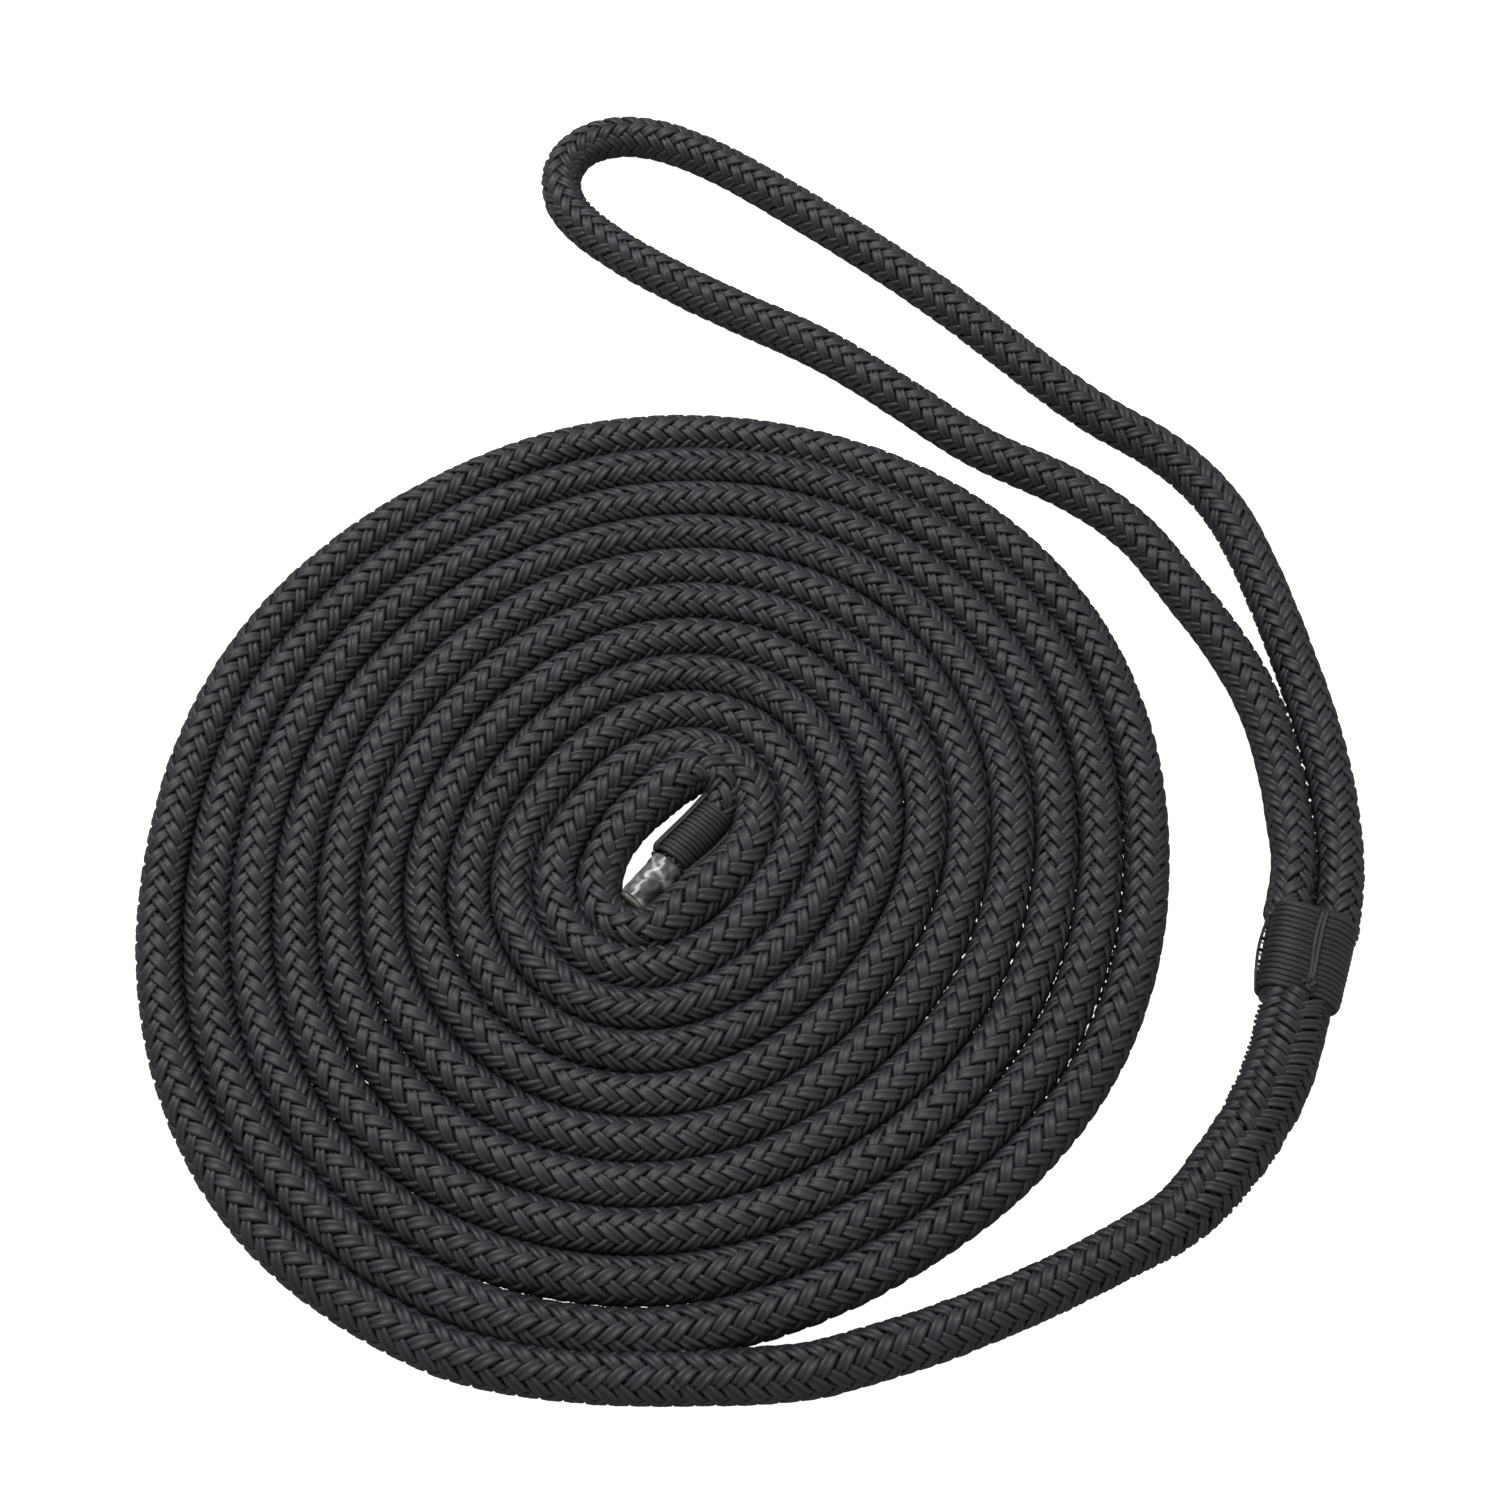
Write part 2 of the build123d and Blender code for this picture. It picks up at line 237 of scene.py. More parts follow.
# ---------------------------------------------------------------- braid
CARRIERS = 8                    # strands in each direction
STEPS_PER_REPEAT = 4            # samples along one strand spacing
FINE_STEP = 0.4 * MM            # step of the sums along a line
STRAND_SHARE = 0.25             # thickness of a strand beside the rope's radius
STRAND_FILL = 1.03              # strand width beside the spacing of the strands
LIFT_SNAP = 2.0                 # how sharply a strand goes from over to under
STRAND_DIP = 0.44               # how far it goes under, in strand thicknesses
DEPTH_SWAY = 0.05               # how unevenly, in strand thicknesses
WIDTH_MEAN, WIDTH_LIFT, WIDTH_SWAY = 0.92, 0.08, 0.04   # width: mean, over or under, uneven
CORE_INSET = 1.7                # depth of the core under the cover, in strand thicknesses
CORE_SIDES = 14
CORE_STEP = 2                   # the core takes every second sample
PATH_STEP = 3                   # and a cord's path every third
TWIST_SWAY = 35.0               # degrees that the braid turns about the rope, either way
# wavelength and height of a strand's wander aside (in strand spacings) and of its swelling
ASIDE_WANDER = (9 * MM, 0.09)
SWELL_WANDER = (6 * MM, 1.0)
TWIST_WANDER = (120 * MM, 1.0)
# a stretched cover lies less evenly: from which radius, over how much of it, and by how much
STRETCHED_FROM = 5.6 * MM
STRETCHED_OVER = 1.8 * MM
STRETCHED_GAIN = 0.7
# two yarns side by side: across, as a share of the half width, and up, as a share of the thickness
SECTION = (
    (-1.00, -0.08),
    (-0.76, 0.38),
    (-0.32, 0.44),
    (0.00, 0.08),
    (0.32, 0.44),
    (0.76, 0.38),
    (1.00, -0.08),
    (0.55, -0.46),
    (-0.55, -0.46),
)

rng = np.random.default_rng(SEED)


# ---------------------------------------------------------------- curves
def spiral_radius(angle):
    """Radius of the coil's centreline at a total angle."""
    radius = SPIRAL_START + PITCH * angle / 360.0
    radius += STRETCH * cos(radians(2 * (angle - STRETCH_ANGLE)))
    for direction, half_width, push, first_turn in LOOSE:
        away = (angle - direction + 180.0) % 360.0 - 180.0
        looseness = (angle / 360.0 - first_turn) / (COIL_END / 360.0 - first_turn)
        if abs(away) < half_width and looseness > 0:
            radius += looseness * push * cos(radians(90.0 * away / half_width)) ** 2
    return radius


def coil_points():
    """Control points of the regular turns."""
    step = 360.0 / TURN_POINTS
    angle = COIL_FIRST
    points = []
    while angle < COIL_END - step / 2:
        radius = spiral_radius(angle) * HULL_SWELL
        x = COIL_CENTRE[0] + radius * cos(radians(angle))
        y = COIL_CENTRE[1] + radius * sin(radians(angle))
        points.append((x, y, COIL_HEIGHT))
        angle += step
    return points


def smooth_line(points):
    """Points along the NURBS spline whose control points these are."""
    curve = bpy.data.curves.new("route", "CURVE")
    curve.dimensions = "3D"
    curve.resolution_u = 24
    spline = curve.splines.new("NURBS")
    spline.points.add(len(points) - 1)
    for place, point in zip(spline.points, points):
        place.co = (*point, 1.0)
    spline.order_u = 3
    spline.use_endpoint_u = True
    carrier = bpy.data.objects.new("route", curve)
    mesh = bpy.data.meshes.new_from_object(carrier)
    line = np.array([vertex.co for vertex in mesh.vertices])
    bpy.data.objects.remove(carrier)
    bpy.data.meshes.remove(mesh)
    bpy.data.curves.remove(curve)
    return line


def lengths_along(line):
    """Distance of each point from the line's start."""
    steps = np.linalg.norm(np.diff(line, axis=0), axis=1)
    return np.concatenate([[0.0], np.cumsum(steps)])


def unit(vectors):
    """The same directions at length one."""
    return vectors / np.linalg.norm(vectors, axis=-1, keepdims=True)


def sample(line, distances):
    """Places and frames at distances along a line: point, side and up."""
    total = lengths_along(line)
    place = np.stack([np.interp(distances, total, line[:, k]) for k in range(3)], axis=1)
    tangent = unit(np.gradient(place, axis=0))
    side = unit(np.cross(tangent, (0.0, 0.0, 1.0)))
    up = np.cross(side, tangent)
    return place, side, up


def spoke_directions(side, up, count):
    """Evenly spaced directions all round each point of a path."""
    spokes = np.arange(count) * 2 * pi / count
    across = np.cos(spokes)[None, :, None] * side[:, None]
    return across + np.sin(spokes)[None, :, None] * up[:, None]


def slow_noise(distances, wavelength, height):
    """Smooth seeded wander along a line."""
    knots = int(distances[-1] / wavelength) + 4
    values = rng.uniform(-height, height, knots)
    place = distances / wavelength
    low = place.astype(int)
    blend = place - low
    blend = blend * blend * (3 - 2 * blend)
    return values[low] * (1 - blend) + values[low + 1] * blend


# ---------------------------------------------------------------- meshes
def make_mesh(name, corners, faces, material, across=None, tone=None):
    """A smooth-shaded mesh object. faces are arrays of corner numbers, one array per face size."""
    loops = np.concatenate([block.ravel() for block in faces]).astype(np.int32)
    sizes = np.concatenate([np.full(len(block), block.shape[1]) for block in faces])
    starts = np.concatenate([[0], np.cumsum(sizes)[:-1]]).astype(np.int32)
    mesh = bpy.data.meshes.new(name)
    mesh.vertices.add(len(corners))
    mesh.vertices.foreach_set("co", np.asarray(corners, np.float32).ravel())
    mesh.loops.add(len(loops))
    mesh.loops.foreach_set("vertex_index", loops)
    mesh.polygons.add(len(starts))
    mesh.polygons.foreach_set("loop_start", starts)
    mesh.update(calc_edges=True)
    mesh.polygons.foreach_set("use_smooth", np.ones(len(starts), bool))
    if across is not None:
        layer = mesh.uv_layers.new(name="along_strand")
        layer.data.foreach_set("uv", np.asarray(across, np.float32)[loops].ravel())
    if tone is not None:
        attribute = mesh.attributes.new("tone", "FLOAT", "POINT")
        attribute.data.foreach_set("value", np.asarray(tone, np.float32))
    mesh.validate()
    mesh.materials.append(material)
    thing = bpy.data.objects.new(name, mesh)
    bpy.context.scene.collection.objects.link(thing)
    return thing


def tube_faces(rows, sides, first=0):
    """Faces of a closed tube of rows rings, with an end cap at each end."""
    ring = np.arange(sides)
    row = np.arange(rows - 1)[:, None] * sides
    here = first + row + ring
    beside = first + row + (ring + 1) % sides
    quads = np.stack([here, beside, beside + sides, here + sides], axis=-1).reshape(-1, 4)
    caps = np.stack([first + ring[::-1], first + (rows - 1) * sides + ring])
    return quads, caps


class Bundle:
    """Closed tubes gathered into one mesh."""

    def __init__(self):
        self.corners = []
        self.quads = []
        self.caps = {}
        self.uv = []
        self.tone = []
        self.count = 0

    def add(self, rings, along, tone):
        """rings is (rows, sides, 3); along is the distance of each row."""
        rows, sides = rings.shape[:2]
        quads, caps = tube_faces(rows, sides, self.count)
        self.corners.append(rings.reshape(-1, 3))
        self.quads.append(quads)
        self.caps.setdefault(sides, []).append(caps)
        turn = np.tile(np.arange(sides) / sides, rows)
        self.uv.append(np.stack([turn, np.repeat(along, sides)], axis=1))
        self.tone.append(np.full(rows * sides, tone))
        self.count += rows * sides

    def build(self, name, material):
        """One object of all the tubes."""
        faces = [np.concatenate(self.quads)]
        faces += [np.concatenate(blocks) for blocks in self.caps.values()]
        return make_mesh(
            name,
            np.concatenate(self.corners),
            faces,
            material,
            np.concatenate(self.uv),
            np.concatenate(self.tone),
        )


def strand_rings(place, side, up, turns, hand, index, radius, repeat, twist, aside, swell):
    """Cross-sections along one strand of the braid, which goes over two and under two."""
    around = index + hand * turns
    angle = 2 * pi * (around + aside) / CARRIERS + twist
    wave = hand * np.cos(pi * (2 * around - 0.5) / 2)
    lift = np.tanh(LIFT_SNAP * wave) / np.tanh(LIFT_SNAP)
    thick = STRAND_SHARE * radius
    reach = radius - thick * (0.5 + STRAND_DIP * (1 - lift) - DEPTH_SWAY * swell)
    outward = np.cos(angle)[:, None] * side + np.sin(angle)[:, None] * up
    centre = place + reach[:, None] * outward
    heading = unit(np.gradient(centre, axis=0))
    across = unit(np.cross(heading, outward))
    rise = np.cross(across, heading)
    pace = 2 * pi * reach / CARRIERS
    slant = pace / np.hypot(pace, repeat)
    share = WIDTH_MEAN + WIDTH_LIFT * lift + WIDTH_SWAY * swell
    half = 0.5 * STRAND_FILL * repeat * slant * share
    section = np.array(SECTION)
    rings = centre[:, None, :]
    rings = rings + across[:, None, :] * (half[:, None] * section[:, 0])[:, :, None]
    rings = rings + rise[:, None, :] * (thick[:, None] * section[:, 1])[:, :, None]
    return rings


def rope_samples(line, radius_at, repeat_at):
    """Even steps of the braid along a line, with its radius and repeat at each."""
    total = lengths_along(line)[-1]
    fine = np.linspace(0, total, int(total / FINE_STEP))
    turns = np.concatenate([[0.0], np.cumsum(np.diff(fine) / repeat_at(fine[1:]))])
    wanted = np.arange(0, turns[-1], 1 / STEPS_PER_REPEAT)
    distances = np.interp(wanted, turns, fine)
    return distances, wanted, radius_at(distances), repeat_at(distances)


def braid_rope(names, line, radius_at, repeat_at, material, cuts=()):
    """A braided rope along a line, cut into named pieces at distances. Returns pieces and paths."""
    distances, turns, radius, repeat = rope_samples(line, radius_at, repeat_at)
    place, side, up = sample(line, distances)
    twist = radians(TWIST_SWAY) * slow_noise(distances, *TWIST_WANDER)
    spread = np.clip((radius - STRETCHED_FROM) / STRETCHED_OVER, 0, 1)
    uneven = 1 + STRETCHED_GAIN * spread
    edges = [0, *(int(np.searchsorted(distances, cut)) for cut in cuts), len(distances) - 1]
    bundles = [Bundle() for _ in edges[1:]]
    for hand in (1, -1):
        for index in range(CARRIERS):
            aside = slow_noise(distances, *ASIDE_WANDER) * uneven
            swell = slow_noise(distances, *SWELL_WANDER) * uneven
            rings = strand_rings(
                place, side, up, turns, hand, index, radius, repeat, twist, aside, swell
            )
            tone = rng.uniform(0, 1)
            for bundle, low, high in zip(bundles, edges, edges[1:]):
                bundle.add(rings[low : high + 1], distances[low : high + 1], tone)
    inner = (radius * (1 - CORE_INSET * STRAND_SHARE))[:, None, None]
    core = place[:, None] + inner * spoke_directions(side, up, CORE_SIDES)
    pieces = []
    for name, bundle, low, high in zip(names, bundles, edges, edges[1:]):
        thin = slice(low, high + 1, CORE_STEP)
        bundle.add(core[thin][:, ::-1], distances[thin], 0.0)
        pieces.append((bundle.build(name, material), place[low : high + 1 : PATH_STEP]))
    return pieces


# ---------------------------------------------------------------- whippings and sleeve
def heading_of(angle):
    """Level direction, and the direction to its right."""
    along = np.array((cos(radians(angle)), sin(radians(angle)), 0.0))
    return along, np.array((along[1], -along[0], 0.0))


def on_axis(foot, height, angle, along, right, up):
    """Places beside a level axis, from distances along it, to its right and above it."""
    heading, aside = heading_of(angle)
    start = np.array((*foot, height))
    along, right, up = np.broadcast_arrays(along, right, up)
    level = start + along[:, None] * heading + right[:, None] * aside
    return level + up[:, None] * np.array((0, 0, 1.0))


def on_throat(along, right, up):
    """Places beside the throat's axis."""
    return on_axis(THROAT_FOOT, THROAT_HEIGHT, THROAT_ANGLE, along, right, up)


def on_end(along, right, up):
    """Places beside the bitter end's axis."""
    return on_axis(END_TOP, END_HEIGHT, END_ANGLE, along, right, up)


def round_rings(points, radius, sides, hint):
    """Circles along a path. hint is a direction that the path never takes."""
    tangent = unit(np.gradient(points, axis=0))
    side = unit(np.cross(tangent, hint))
    up = np.cross(side, tangent)
    reach = np.broadcast_to(radius, len(points))[:, None, None]
    return points[:, None] + reach * spoke_directions(side, up, sides)


def twine_tube(bundle, points, radius, hint, sides=8):
    """One length of twine along a path, added to a bundle."""
    points = np.asarray(points)
    rings = round_rings(points, radius, sides, hint)[:, ::-1]
    bundle.add(rings, lengths_along(points), rng.uniform(0, 1))


def uneven_winding(angle, spacing):
    """Seeded unevenness along a winding, from knots that are spacing radians apart."""
    knots = 50
    return np.interp(angle, np.arange(knots) * spacing, rng.uniform(-1, 1, knots))


def throat_half_width(along):
    """Half the throat's width at a distance along it."""
    return 0.5 * THROAT_WIDE * (1.0 + THROAT_FLARE * along / THROAT_LONG)


def groove_share(right):
    """The share of the throat's height that the groove leaves, at a distance from the axis."""
    return 1 - GROOVE_DEPTH * np.exp(-((right / GROOVE_WIDE) ** 2))


def throat_section(angle, along):
    """Right and up from the throat's axis to its skin: two legs side by side with a groove."""
    across, rise = np.cos(angle), np.sin(angle)
    right = throat_half_width(along) * np.sign(across) * np.abs(across) ** SIDE_POWER
    up = 0.5 * THROAT_HIGH * np.sign(rise) * np.abs(rise) ** TOP_POWER
    return right, up * groove_share(right)


def throat_body():
    """The two legs under the whipping, as one squeezed body."""
    along = np.linspace(-0.2 * MM, THROAT_LONG, 24)
    sides = 40
    around = np.arange(sides) * 2 * pi / sides
    rings = [on_throat(place, *throat_section(around, place)) for place in along]
    bundle = Bundle()
    bundle.add(np.array(rings)[:, ::-1], along, 0.3)
    return bundle.build("throat_body", nylon)


def throat_wraps():
    """Turns of twine wound tightly round both legs."""
    per_turn = 48
    angle = np.linspace(0, 2 * pi * THROAT_TURNS, THROAT_TURNS * per_turn + 1) + 0.4
    first, last = 0.6 * TWINE, THROAT_LONG - 0.4 * TWINE
    along = first + (last - first) * (angle - angle[0]) / (angle[-1] - angle[0])
    uneven = uneven_winding(angle, 2.2)
    right, up = throat_section(angle, along)
    lean = 0.9 * MM * np.abs(np.cos(angle)) * np.sign(np.cos(angle))
    swell = 1 + (0.5 * TWINE + 0.06 * MM * uneven) / np.hypot(right, up)
    leaning = along - 0.35 * lean + 0.10 * MM * uneven
    points = on_throat(leaning, right * swell, up * swell)
    radius = (0.56 + 0.02 * uneven) * TWINE
    bundle = Bundle()
    twine_tube(bundle, points, radius, heading_of(THROAT_ANGLE)[0], 10)
    return bundle.build("throat_whipping_twine", twine)


def throat_top(right):
    """Height above the axis of the wraps' top, at a distance from the axis."""
    half = 0.5 * THROAT_WIDE
    share = np.clip(np.abs(right) / half, 0, 0.98) ** (1 / SIDE_POWER)
    up = 0.5 * THROAT_HIGH * np.sqrt(1 - share**2) ** TOP_POWER
    return up * groove_share(right) + 1.05 * TWINE


def throat_frap():
    """Two strands of twine pulled along the groove over the wraps, drawn down at both ends."""
    bundle = Bundle()
    along = np.linspace(2.6, 20.4, 60) * MM
    near_eye = np.clip((along - 18.6 * MM) / (1.8 * MM), 0, 1)
    near_knot = np.clip((4.0 * MM - along) / (1.4 * MM), 0, 1)
    dip = near_eye + near_knot
    for offset, sway in ((0.55, 0.25), (1.35, 0.1)):
        right = (offset + sway * np.sin(along / MM * 0.35)) * MM
        up = throat_top(right) + 0.30 * MM - 0.9 * MM * dip**2
        twine_tube(bundle, on_throat(along, right, up), 0.52 * MM, (0, 0, 1))
    return bundle.build("throat_frapping_twine", twine)


def throat_tied_knot():
    """A small trefoil knot of twine where the frapping is made off."""
    turn = np.linspace(0, 2 * pi, 97)[:-1]
    size = 0.62 * MM
    along = 2.2 * MM + size * (np.sin(turn) + 2 * np.sin(2 * turn)) * 0.72
    right = 1.0 * MM + size * (np.cos(turn) - 2 * np.cos(2 * turn)) * 0.72
    up = throat_top(right) + 0.35 * MM - 0.6 * size * np.sin(3 * turn)
    points = on_throat(along, right, up)
    bundle = Bundle()
    twine_tube(bundle, np.concatenate([points, points[:2]]), 0.5 * MM, (0.3, 0.2, 1.0))
    return bundle.build("throat_knot_twine", twine)


def throat_edge(along):
    """The left edge of the wraps, as a distance to the right of the axis."""
    return -throat_half_width(along) - TWINE


def throat_loose_strand():
    """A slack bight of twine down the left edge, caught by small loops of thread."""
    bundle = Bundle()
    along = np.linspace(0.2, 19.6, 70) * MM
    bow = np.sin(pi * (along - along[0]) / (along[-1] - along[0])) ** 0.7
    right = throat_edge(along) + 0.55 * TWINE - (0.35 * MM + 1.25 * MM * bow)
    up = 0.8 * MM + 0.5 * MM * np.sin(along / MM * 0.4)
    twine_tube(bundle, on_throat(along, right, up), 0.34 * MM, (0, 0, 1))

    along = np.linspace(2.0, 18.6, 260) * MM
    bow = np.sin(pi * np.clip((along - 0.2 * MM) / (19.4 * MM), 0, 1)) ** 0.7
    reach = (0.2 * MM + 1.15 * MM * bow) * (0.5 + 0.5 * np.sin(along / MM * 4.6))
    loops = along + 0.5 * MM * np.sin(along / MM * 2.3)
    right = throat_edge(along) + 0.3 * MM - reach
    up = 0.9 * MM + 0.3 * MM * np.cos(along / MM * 4.6)
    twine_tube(bundle, on_throat(loops, right, up), 0.2 * MM, (0, 0, 1), 6)
    return bundle.build("throat_loose_twine", twine)


def end_wraps():
    """Turns of twine round the squeezed rope beside the sleeve."""
    per_turn = 36
    angle = np.linspace(0, 2 * pi * END_TURNS, END_TURNS * per_turn + 1)
    first, last = 0.5 * END_TWINE, END_WHIPPED - 0.5 * END_TWINE
    along = first + (last - first) * angle / angle[-1]
    uneven = uneven_winding(angle, 2.0)
    reach = END_SQUEEZED + 0.5 * END_TWINE + 0.05 * MM * uneven
    leaning = along + 0.5 * MM * np.cos(angle) + 0.08 * MM * uneven
    points = on_end(leaning, reach * np.cos(angle), reach * np.sin(angle))
    bundle = Bundle()
    twine_tube(bundle, points, 0.54 * END_TWINE, heading_of(END_ANGLE)[0], 10)
    return bundle.build("end_whipping_twine", twine)


def end_fraps():
    """Frapping strands down both sides of the end whipping, drawn tight at the sleeve."""
    bundle = Bundle()
    along = np.linspace(-1.2, 16.0, 50) * MM
    drawn = np.clip((along - 14.6 * MM) / (1.4 * MM), 0, 1)
    reach = END_SQUEEZED + END_TWINE + FRAP_OUT - 0.9 * MM * drawn**2
    for around, sway in ((28.0, 7.0), (41.0, 3.0), (160.0, 6.0), (176.0, 3.0)):
        angle = np.radians(around + sway * np.sin(along / MM * 0.3))
        points = on_end(along, reach * np.cos(angle), reach * np.sin(angle))
        twine_tube(bundle, points, 0.44 * MM, (0, 0, 1))
    return bundle.build("end_frapping_twine", twine)


def sleeve_wrinkle(along, around):
    """Shallow creases where the sleeve shrank over the braid."""
    place = along / MM
    crease = np.sin(3 * around + 0.55 * place) * np.sin(0.9 * place + 1.0)
    crease = crease + 0.7 * np.sin(5 * around - 0.8 * place + 1.3)
    crease = crease + 0.5 * np.sin(8 * around + 1.7 * place)
    return SLEEVE_CREASE * crease


def sleeve_profile():
    """Corners of the sleeve's wall, out along its skin and back along its bore."""
    start, end = END_WHIPPED, END_WHIPPED + SLEEVE_LONG
    steps = np.linspace(start, end, 40)
    taper = 0.5 * SLEEVE * (1.0 - SLEEVE_TAPER * (steps - start) / SLEEVE_LONG)
    outer = list(zip(steps, taper))
    rim = [(end + 0.12 * MM, taper[-1] - 0.5 * SLEEVE_WALL)]
    inner = [(place, radius - SLEEVE_WALL) for place, radius in outer[::-4]]
    return outer + rim + inner


def sleeve_shell():
    """The clear sleeve: its wall turned about the bitter end's axis, as a closed shell."""
    sides = 64
    around = np.arange(sides) * 2 * pi / sides
    profile = sleeve_profile()
    rows = []
    for along, radius in profile:
        reach = radius + sleeve_wrinkle(along, around)
        rows.append(on_end(along, reach * np.cos(around), reach * END_FLAT * np.sin(around)))
    row = np.arange(len(profile))[:, None]
    next_row = (row + 1) % len(profile)
    ring = np.arange(sides)[None, :]
    next_ring = (ring + 1) % sides
    quads = np.stack(
        [
            row * sides + ring,
            row * sides + next_ring,
            next_row * sides + next_ring,
            next_row * sides + ring,
        ],
        axis=-1,
    ).reshape(-1, 4)
    return make_mesh("shrink_sleeve", np.concatenate(rows), [quads], clear_sleeve)


def melted_end():
    """The lumpy bead of melted nylon that closes the cut end."""
    sides = 40
    around = np.arange(sides) * 2 * pi / sides
    rings = []
    for along, radius in BEAD:
        lumps = 0.05 * np.sin(3 * around + along) + 0.04 * np.sin(7 * around)
        lumpy = radius * (1 + lumps) * MM
        place = END_WHIPPED + (along - BEAD_BACK) * MM
        rings.append(on_end(place, lumpy * np.cos(around), END_FLAT * lumpy * np.sin(around)))
    bundle = Bundle()
    bundle.add(np.array(rings), np.array([along for along, _ in BEAD]) * MM, 0.5)
    return bundle.build("melted_bead", melted_nylon)


# ---------------------------------------------------------------- materials
def new_material(name):
    """A node material, its tree and its shader."""
    material = bpy.data.materials.new(name)
    material.use_nodes = True
    tree = material.node_tree
    return material, tree, tree.nodes["Principled BSDF"]


def add_noise(tree, coordinates, scale, detail=2.0, distortion=0.0):
    """A noise texture's value."""
    noise = tree.nodes.new("ShaderNodeTexNoise")
    noise.inputs["Scale"].default_value = scale
    noise.inputs["Detail"].default_value = detail
    noise.inputs["Distortion"].default_value = distortion
    tree.links.new(coordinates, noise.inputs["Vector"])
    return noise.outputs["Fac"]


def add_ramp(tree, factor, stops):
    """A colour from a value, through stops of position and colour."""
    ramp = tree.nodes.new("ShaderNodeValToRGB")
    elements = ramp.color_ramp.elements
    while len(elements) < len(stops):
        elements.new(1.0)
    for element, (position, colour) in zip(elements, stops):
        element.position = position
        element.color = (*colour, 1.0)
    tree.links.new(factor, ramp.inputs["Fac"])
    return ramp.outputs["Color"]


def add_bump(tree, height, strength, distance):
    """A normal that follows a height."""
    bump = tree.nodes.new("ShaderNodeBump")
    bump.inputs["Strength"].default_value = strength
    bump.inputs["Distance"].default_value = distance
    tree.links.new(height, bump.inputs["Height"])
    return bump.outputs["Normal"]


def stretched_uv(tree, around, along):
    """Coordinates that run round and along a strand, stretched to a filament's size."""
    uv = tree.nodes.new("ShaderNodeUVMap")
    uv.uv_map = "along_strand"
    stretch = tree.nodes.new("ShaderNodeVectorMath")
    stretch.operation = "MULTIPLY"
    stretch.inputs[1].default_value = (around, along, 1.0)
    tree.links.new(uv.outputs["UV"], stretch.inputs[0])
    return stretch.outputs[0]


def object_coordinates(tree):
    """Coordinates that stay with the object."""
    return tree.nodes.new("ShaderNodeTexCoord").outputs["Object"]


def nylon_braid():
    """Black nylon: fine filaments along each strand, and a faint drift between strands."""
    material, tree, shader = new_material("nylon_braid")
    filaments = add_noise(tree, stretched_uv(tree, 70.0, 260.0), 1.0, 3.0)
    drift = add_noise(tree, object_coordinates(tree), 55.0)
    strand = tree.nodes.new("ShaderNodeAttribute")
    strand.attribute_name = "tone"
    mixed = tree.nodes.new("ShaderNodeMath")
    mixed.operation = "MULTIPLY_ADD"
    mixed.inputs[1].default_value = 0.35
    tree.links.new(strand.outputs["Fac"], mixed.inputs[0])
    tree.links.new(drift, mixed.inputs[2])
    stops = ((0.35, (0.0112, 0.0108, 0.0145)), (0.95, (0.0216, 0.0207, 0.0268)))
    tree.links.new(add_ramp(tree, mixed.outputs[0], stops), shader.inputs["Base Color"])
    tree.links.new(add_bump(tree, filaments, 0.45, 0.14 * MM), shader.inputs["Normal"])
    shader.inputs["Roughness"].default_value = 0.45
    shader.inputs["Specular IOR Level"].default_value = 0.42
    return material


def whipping_twine():
    """Fine waxed black twine with a visible lay."""
    material, tree, shader = new_material("whipping_twine")
    lay = tree.nodes.new("ShaderNodeTexWave")
    lay.wave_type = "BANDS"
    lay.bands_direction = "DIAGONAL"
    lay.inputs["Scale"].default_value = 1.0
    lay.inputs["Distortion"].default_value = 0.6
    tree.links.new(stretched_uv(tree, 9.0, 900.0), lay.inputs["Vector"])
    drift = add_noise(tree, object_coordinates(tree), 160.0)
    stops = ((0.30, (0.0130, 0.0127, 0.0153)), (0.75, (0.0240, 0.0233, 0.0275)))
    tree.links.new(add_ramp(tree, drift, stops), shader.inputs["Base Color"])
    tree.links.new(add_bump(tree, lay.outputs["Fac"], 0.5, 0.12 * MM), shader.inputs["Normal"])
    shader.inputs["Roughness"].default_value = 0.42
    shader.inputs["Specular IOR Level"].default_value = 0.42
    return material


def sleeve_plastic():
    """Clear heat-shrunk sleeve over black rope: pale patches of painted reflection, dark gaps and a
    wet gloss.
    """
    material, tree, shader = new_material("shrink_sleeve")
    # painted reflection: the pale stops stand for light reflected in the clear plastic, and the
    # dark stops are the black rope under it
    painted_reflection_mottle = add_noise(tree, object_coordinates(tree), 290.0, 1.5, 0.7)
    stops = (
        (0.36, (0.028, 0.030, 0.030)),
        (0.48, (0.100, 0.105, 0.105)),
        (0.58, (0.240, 0.250, 0.245)),
        (0.70, (0.440, 0.455, 0.445)),
    )
    tree.links.new(add_ramp(tree, painted_reflection_mottle, stops), shader.inputs["Base Color"])
    tree.links.new(add_bump(tree, painted_reflection_mottle, 0.12, 0.3 * MM), shader.inputs["Normal"])
    shader.inputs["Roughness"].default_value = 0.26
    shader.inputs["Coat Weight"].default_value = 0.35
    shader.inputs["Coat Roughness"].default_value = 0.15
    return material


def melted_plastic():
    """Nylon that melted and set, grey with a dull amber edge."""
    material, tree, shader = new_material("melted_nylon")
    blotches = add_noise(tree, object_coordinates(tree), 500.0)
    stops = ((0.38, (0.210, 0.210, 0.180)), (0.70, (0.450, 0.435, 0.280)))
    tree.links.new(add_ramp(tree, blotches, stops), shader.inputs["Base Color"])
    tree.links.new(add_bump(tree, blotches, 0.3, 0.2 * MM), shader.inputs["Normal"])
    shader.inputs["Roughness"].default_value = 0.25
    return material


# ---------------------------------------------------------------- camera, lights and floor
TARGET = Vector((-0.0015, -0.0185, 0.0))
ELEVATION = radians(62.5)
DISTANCE = 0.5133
LENS = 54.65
SENSOR = 36.0
NEAREST = 0.01
WORLD_LIGHT = 0.58
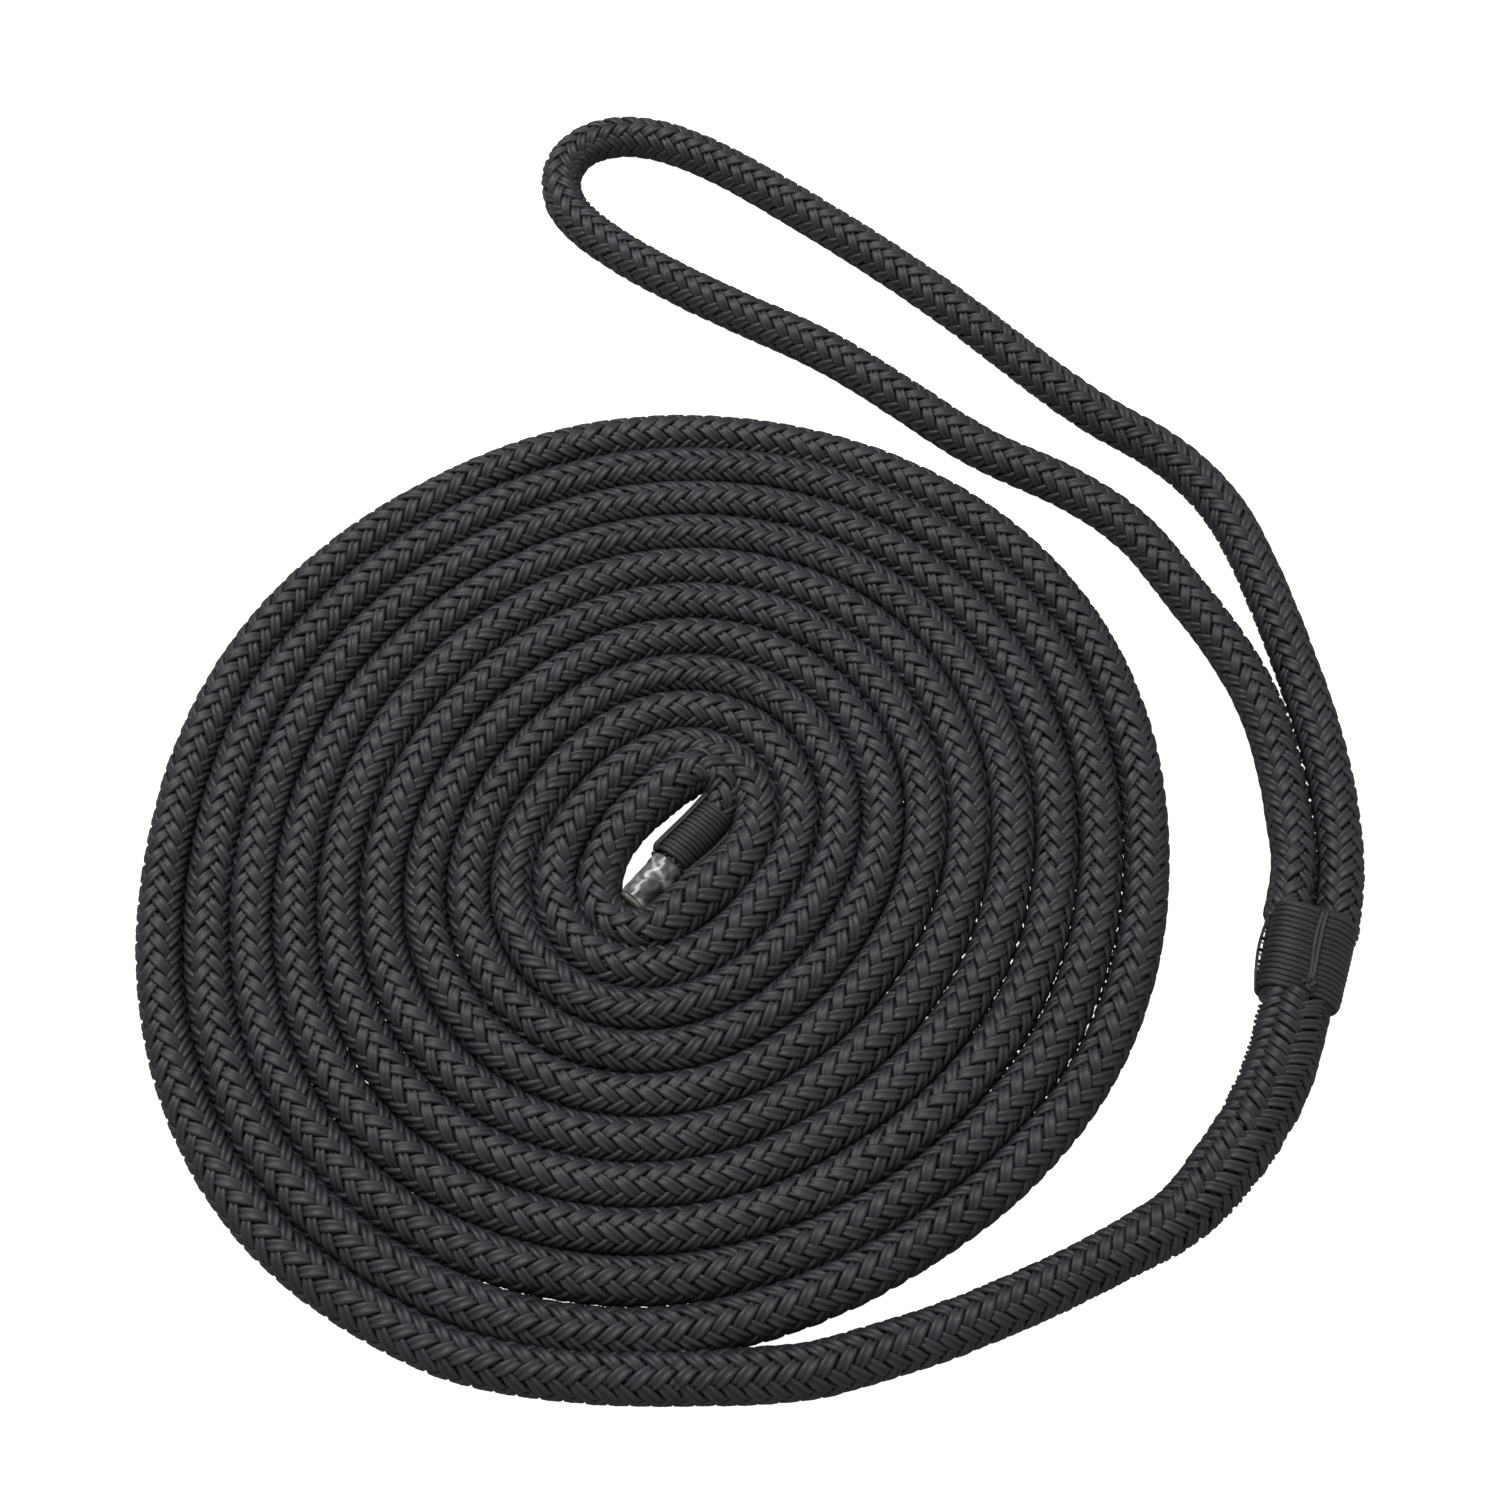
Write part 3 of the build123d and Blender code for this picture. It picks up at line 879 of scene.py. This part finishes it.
# place, width and depth, power in watts
KEY = ((-0.3, 0.35, 0.75), (0.5, 0.4), 6.4)
FILL = ((0.9, 0.1, 0.9), (0.9, 0.9), 1.5)
FLOOR_SIZE = 8.0
FLOOR_DEPTH = -0.0004           # a little under the rope, so that they don't share a plane
FLOOR_GREY = 0.3


def add_camera():
    """The camera looks along +Y and down at the target."""
    data = bpy.data.cameras.new("camera")
    data.lens = LENS
    data.sensor_width = SENSOR
    data.clip_start = NEAREST
    camera = bpy.data.objects.new("camera", data)
    bpy.context.scene.collection.objects.link(camera)
    offset = Vector((0.0, -cos(ELEVATION), sin(ELEVATION))) * DISTANCE
    camera.location = TARGET + offset
    camera.rotation_euler = (-offset).to_track_quat("-Z", "Y").to_euler()
    bpy.context.scene.camera = camera


def add_area_light(name, place, size, power):
    """A rectangular lamp that points at the middle of the floor."""
    data = bpy.data.lights.new(name, "AREA")
    data.shape = "RECTANGLE"
    data.size, data.size_y = size
    data.energy = power
    lamp = bpy.data.objects.new(name, data)
    bpy.context.scene.collection.objects.link(lamp)
    lamp.location = place
    lamp.rotation_euler = (-Vector(place)).to_track_quat("-Z", "Y").to_euler()


def add_studio():
    """Even light from all round, two lamps and a floor."""
    bpy.context.scene.view_settings.view_transform = "Standard"
    world = bpy.data.worlds.new("studio")
    bpy.context.scene.world = world
    world.use_nodes = True
    background = world.node_tree.nodes["Background"]
    background.inputs["Color"].default_value = (1, 1, 1, 1)
    background.inputs["Strength"].default_value = WORLD_LIGHT
    add_area_light("key", *KEY)
    add_area_light("fill", *FILL)
    material, tree, shader = new_material("pale_floor")
    shader.inputs["Base Color"].default_value = (FLOOR_GREY, FLOOR_GREY, FLOOR_GREY, 1)
    shader.inputs["Roughness"].default_value = 0.6
    shader.inputs["Emission Color"].default_value = (1, 1, 1, 1)
    # the floor's white glow is only seen: it lights nothing, and no shadow shows on it
    seen = tree.nodes.new("ShaderNodeLightPath")
    tree.links.new(seen.outputs["Is Camera Ray"], shader.inputs["Emission Strength"])
    bpy.ops.mesh.primitive_plane_add(size=FLOOR_SIZE, location=(0, 0, FLOOR_DEPTH))
    floor = bpy.context.object
    floor.name = "floor"
    floor.data.materials.append(material)


add_camera()

# ---------------------------------------------------------------- the rope
nylon = nylon_braid()
twine = whipping_twine()
clear_sleeve = sleeve_plastic()
melted_nylon = melted_plastic()

line = smooth_line([*END_ROUTE, *coil_points(), *STANDING_ROUTE])
line_long = lengths_along(line)[-1]
leave = line_long - THICK_LONG  # the rope thickens from here on


def along_line(distance, from_end, from_leave):
    """Sizes at distances along the line, from two tables in mm."""
    stations = [place * MM for place, _ in from_end]
    stations += [leave + place * MM for place, _ in from_leave]
    sizes = [size * MM for _, size in from_end + from_leave]
    return np.interp(distance, stations, sizes)


def line_radius(distance):
    return along_line(distance, END_SIZES, SPLICE_SIZES)


def line_repeat(distance):
    return along_line(distance, END_REPEATS, SPLICE_REPEATS)


def eye_radius(distance):
    return np.full_like(distance, EYE_RADIUS)


def eye_repeat(distance):
    return np.full_like(distance, EYE_REPEAT)


(coil_rope, coil_path), (splice_rope, splice_path) = braid_rope(
    ("coiled_line", "spliced_line"),
    line,
    line_radius,
    line_repeat,
    nylon,
    cuts=(leave + SPLICE_CUT,),
)
((eye_rope, eye_path),) = braid_rope(
    ("eye_rope",), smooth_line(EYE_ROUTE), eye_radius, eye_repeat, nylon
)


def place_piece(piece, slot, *nodes):
    """A piece on the line, parented to the root, with the CAD nodes it stands for hidden. slot, its
    finish, is not used.
    """
    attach(piece, "root")
    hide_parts(*nodes)


place_piece(coil_rope, "rope_cover", "coil", "end_cover", "end_core")
place_piece(
    splice_rope,
    "rope_cover",
    "standing_cover",
    "standing_core",
    "taper_cover",
    "taper_core",
    "splice_cover",
    "splice_core",
    "buried_cover_tail",
)
place_piece(eye_rope, "rope_cover", "eye_cover", "eye_core")
place_piece(throat_body(), "rope_cover", "throat")
place_piece(throat_wraps(), "whipping_twine", "throat_whipping")
place_piece(throat_frap(), "whipping_twine", "throat_frapping")
place_piece(throat_tied_knot(), "whipping_twine", "throat_knot")
place_piece(throat_loose_strand(), "whipping_twine", "throat_side_strand")
place_piece(end_wraps(), "whipping_twine", "end_whipping")
place_piece(end_fraps(), "whipping_twine", "end_frapping")
place_piece(sleeve_shell(), "shrink_sleeve", "end_sleeve")
place_piece(melted_end(), "melted_nylon", "fused_tip")
add_studio()
